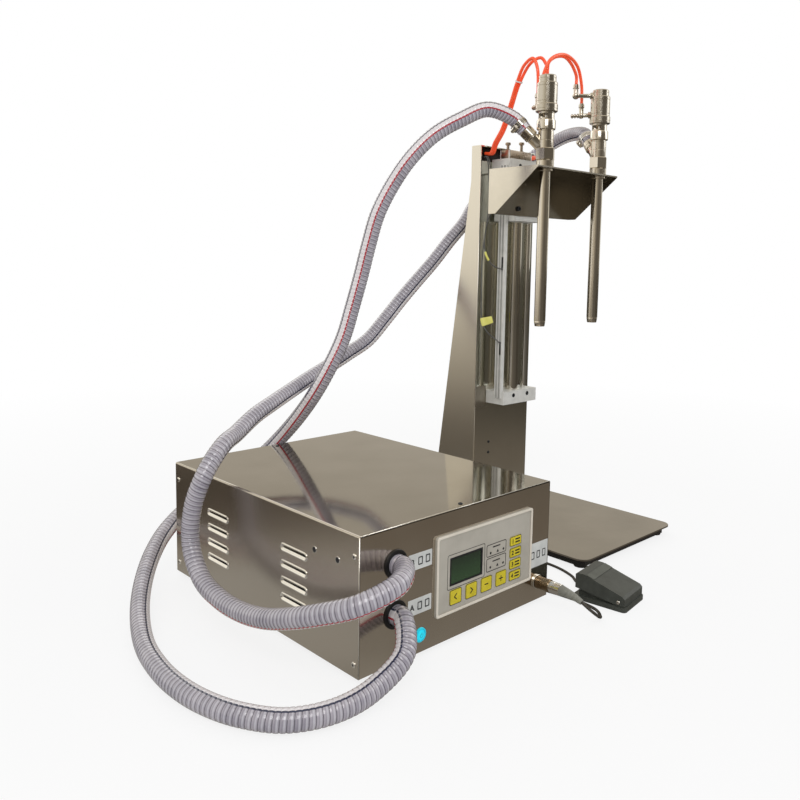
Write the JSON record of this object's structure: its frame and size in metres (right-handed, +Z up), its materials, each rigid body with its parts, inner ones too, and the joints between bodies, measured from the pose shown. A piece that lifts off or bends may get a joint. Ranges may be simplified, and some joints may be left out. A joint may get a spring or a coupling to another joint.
{
  "type": "liquid filling machine",
  "caption": "Benchtop filling machine: pump box with keypad, stand with a sliding shelf of air-operated nozzles, clear hoses and a foot pedal.",
  "frame": {"origin": "centre of the footprint without the free cords, on the surface the machine stands on", "axes": "+Z up, the box's panel faces -Y, the stand is on +X"},
  "size_m": [1.1026, 0.6955, 0.9968],
  "materials": {
    "box_steel": "brushed stainless sheet",
    "stand_steel": "brushed stainless sheet",
    "base_steel": "brushed stainless plate",
    "nozzle_steel": "turned stainless",
    "bright_rod": "ground and polished",
    "slide_alloy": "machined alloy",
    "hose_clear": "milky soft plastic over a wire helix",
    "air_tube": "smooth coloured tube",
    "black_rubber": "moulded",
    "cable_sheath": "smooth sheath",
    "panel_grey": "fine satin",
    "key_yellow": "satin",
    "display_green": "clear cover over a dark display",
    "lit_cap": "glowing translucent cap",
    "board_green": "lacquered board",
    "motor_black": "satin paint",
    "rotor_plastic": "moulded",
    "plated_trim": "plated",
    "supply_case": "pressed alloy case",
    "black_plastic": "moulded",
    "pedal_paint": "textured paint"
  },
  "bodies": {
    "base": {"box_chassis": "box_steel", "box_cover": "box_steel", "box_foot_front_left": "black_rubber", "box_foot_front_right": "black_rubber", "box_foot_rear_left": "black_rubber", "box_foot_rear_right": "black_rubber", "control_panel": "panel_grey", "display_window": "display_green", "control_board": "board_green", "power_button_ring": "plated_trim", "outlet_grommet_a": "black_rubber", "outlet_grommet_b": "black_rubber", "pump_head_a": "nozzle_steel", "pump_head_b": "nozzle_steel", "pump_motor_a": "motor_black", "pump_motor_b": "motor_black", "pump_bracket": "stand_steel", "power_supply": "supply_case", "mains_inlet": "black_plastic", "pedal_socket": "plated_trim", "pedal_plug": "plated_trim", "base_plate": "base_steel", "column": "stand_steel", "slide_head_bottom": "slide_alloy", "slide_head_top": "slide_alloy", "guide_rod_left": "bright_rod", "guide_rod_right": "bright_rod", "cylinder_tube": "bright_rod", "sensor_rail": "slide_alloy", "air_valve_block": "black_plastic", "hose_1": "hose_clear", "hose_2": "hose_clear", "air_lines": "air_tube", "pedal_base": "pedal_paint", "pedal_cable_coil": "cable_sheath", "pedal_cable_out": "cable_sheath", "pedal_cable_back": "cable_sheath"},
    "carriage": {"slide_block": "slide_alloy", "magnet_piston": "nozzle_steel", "nozzle_bracket": "stand_steel", "valve_body_1": "nozzle_steel", "valve_body_2": "nozzle_steel", "valve_actuator_1": "nozzle_steel", "valve_actuator_2": "nozzle_steel", "air_jumper_1": "air_tube", "air_jumper_2": "air_tube"},
    "key_left_body": {"key_left": "key_yellow"},
    "key_right_body": {"key_right": "key_yellow"},
    "key_minus_body": {"key_minus": "key_yellow"},
    "key_plus_body": {"key_plus": "key_yellow"},
    "key_side_1_body": {"key_side_1": "key_yellow"},
    "key_side_2_body": {"key_side_2": "key_yellow"},
    "key_side_3_body": {"key_side_3": "key_yellow"},
    "key_side_4_body": {"key_side_4": "key_yellow"},
    "stem_1": {"valve_stem_1": "bright_rod"},
    "stem_2": {"valve_stem_2": "bright_rod"},
    "power_cap": {"power_button": "lit_cap"},
    "treadle": {"pedal_treadle": "pedal_paint"},
    "rotor_a": {"pump_rotor_a": "rotor_plastic"},
    "rotor_b": {"pump_rotor_b": "rotor_plastic"}
  },
  "joints": [
    {"name": "nozzle_lift", "type": "slide", "parent": "base", "child": "carriage", "axis": [0, 0, 1], "range_m": [-0.35, 0], "deforming": ["hose_1", "hose_2", "air_lines"]},
    {"name": "valve_1", "type": "slide", "parent": "carriage", "child": "stem_1", "axis": [0, 0, 1], "range_m": [0, 0.008], "stiffness_N_per_m": 1500, "springref_m": -0.005},
    {"name": "valve_2", "type": "slide", "parent": "carriage", "child": "stem_2", "axis": [0, 0, 1], "range_m": [0, 0.008], "stiffness_N_per_m": 1500, "springref_m": -0.005},
    {"name": "power_press", "type": "slide", "parent": "base", "child": "power_cap", "axis": [0, 1, 0], "range_m": [0, 0.0025], "stiffness_N_per_m": 800, "springref_m": -0.001},
    {"name": "key_left_press", "type": "slide", "parent": "base", "child": "key_left_body", "axis": [0, 1, 0], "range_m": [0, 0.0006], "stiffness_N_per_m": 2500, "springref_m": -0.0003},
    {"name": "key_right_press", "type": "slide", "parent": "base", "child": "key_right_body", "axis": [0, 1, 0], "range_m": [0, 0.0006], "stiffness_N_per_m": 2500, "springref_m": -0.0003},
    {"name": "key_minus_press", "type": "slide", "parent": "base", "child": "key_minus_body", "axis": [0, 1, 0], "range_m": [0, 0.0006], "stiffness_N_per_m": 2500, "springref_m": -0.0003},
    {"name": "key_plus_press", "type": "slide", "parent": "base", "child": "key_plus_body", "axis": [0, 1, 0], "range_m": [0, 0.0006], "stiffness_N_per_m": 2500, "springref_m": -0.0003},
    {"name": "key_side_1_press", "type": "slide", "parent": "base", "child": "key_side_1_body", "axis": [0, 1, 0], "range_m": [0, 0.0006], "stiffness_N_per_m": 2500, "springref_m": -0.0003},
    {"name": "key_side_2_press", "type": "slide", "parent": "base", "child": "key_side_2_body", "axis": [0, 1, 0], "range_m": [0, 0.0006], "stiffness_N_per_m": 2500, "springref_m": -0.0003},
    {"name": "key_side_3_press", "type": "slide", "parent": "base", "child": "key_side_3_body", "axis": [0, 1, 0], "range_m": [0, 0.0006], "stiffness_N_per_m": 2500, "springref_m": -0.0003},
    {"name": "key_side_4_press", "type": "slide", "parent": "base", "child": "key_side_4_body", "axis": [0, 1, 0], "range_m": [0, 0.0006], "stiffness_N_per_m": 2500, "springref_m": -0.0003},
    {"name": "pedal_press", "type": "hinge", "parent": "base", "child": "treadle", "pos_m": [0.06216, -0.31583, 0.014], "axis": [-0.9903, -0.1392, 0], "range_deg": [0, 8], "stiffness_Nm_per_rad": 3, "springref_deg": -5.73},
    {"name": "pump_spin_a", "type": "hinge", "parent": "base", "child": "rotor_a", "pos_m": [-0.38, -0.14766, 0.081], "axis": [0, 1, 0], "continuous": true},
    {"name": "pump_spin_b", "type": "hinge", "parent": "base", "child": "rotor_b", "pos_m": [-0.38, -0.14766, 0.154], "axis": [0, 1, 0], "continuous": true}
  ],
  "couplings": [
    {"joint": "valve_2", "follows": "valve_1", "ratio": 1}
  ]
}
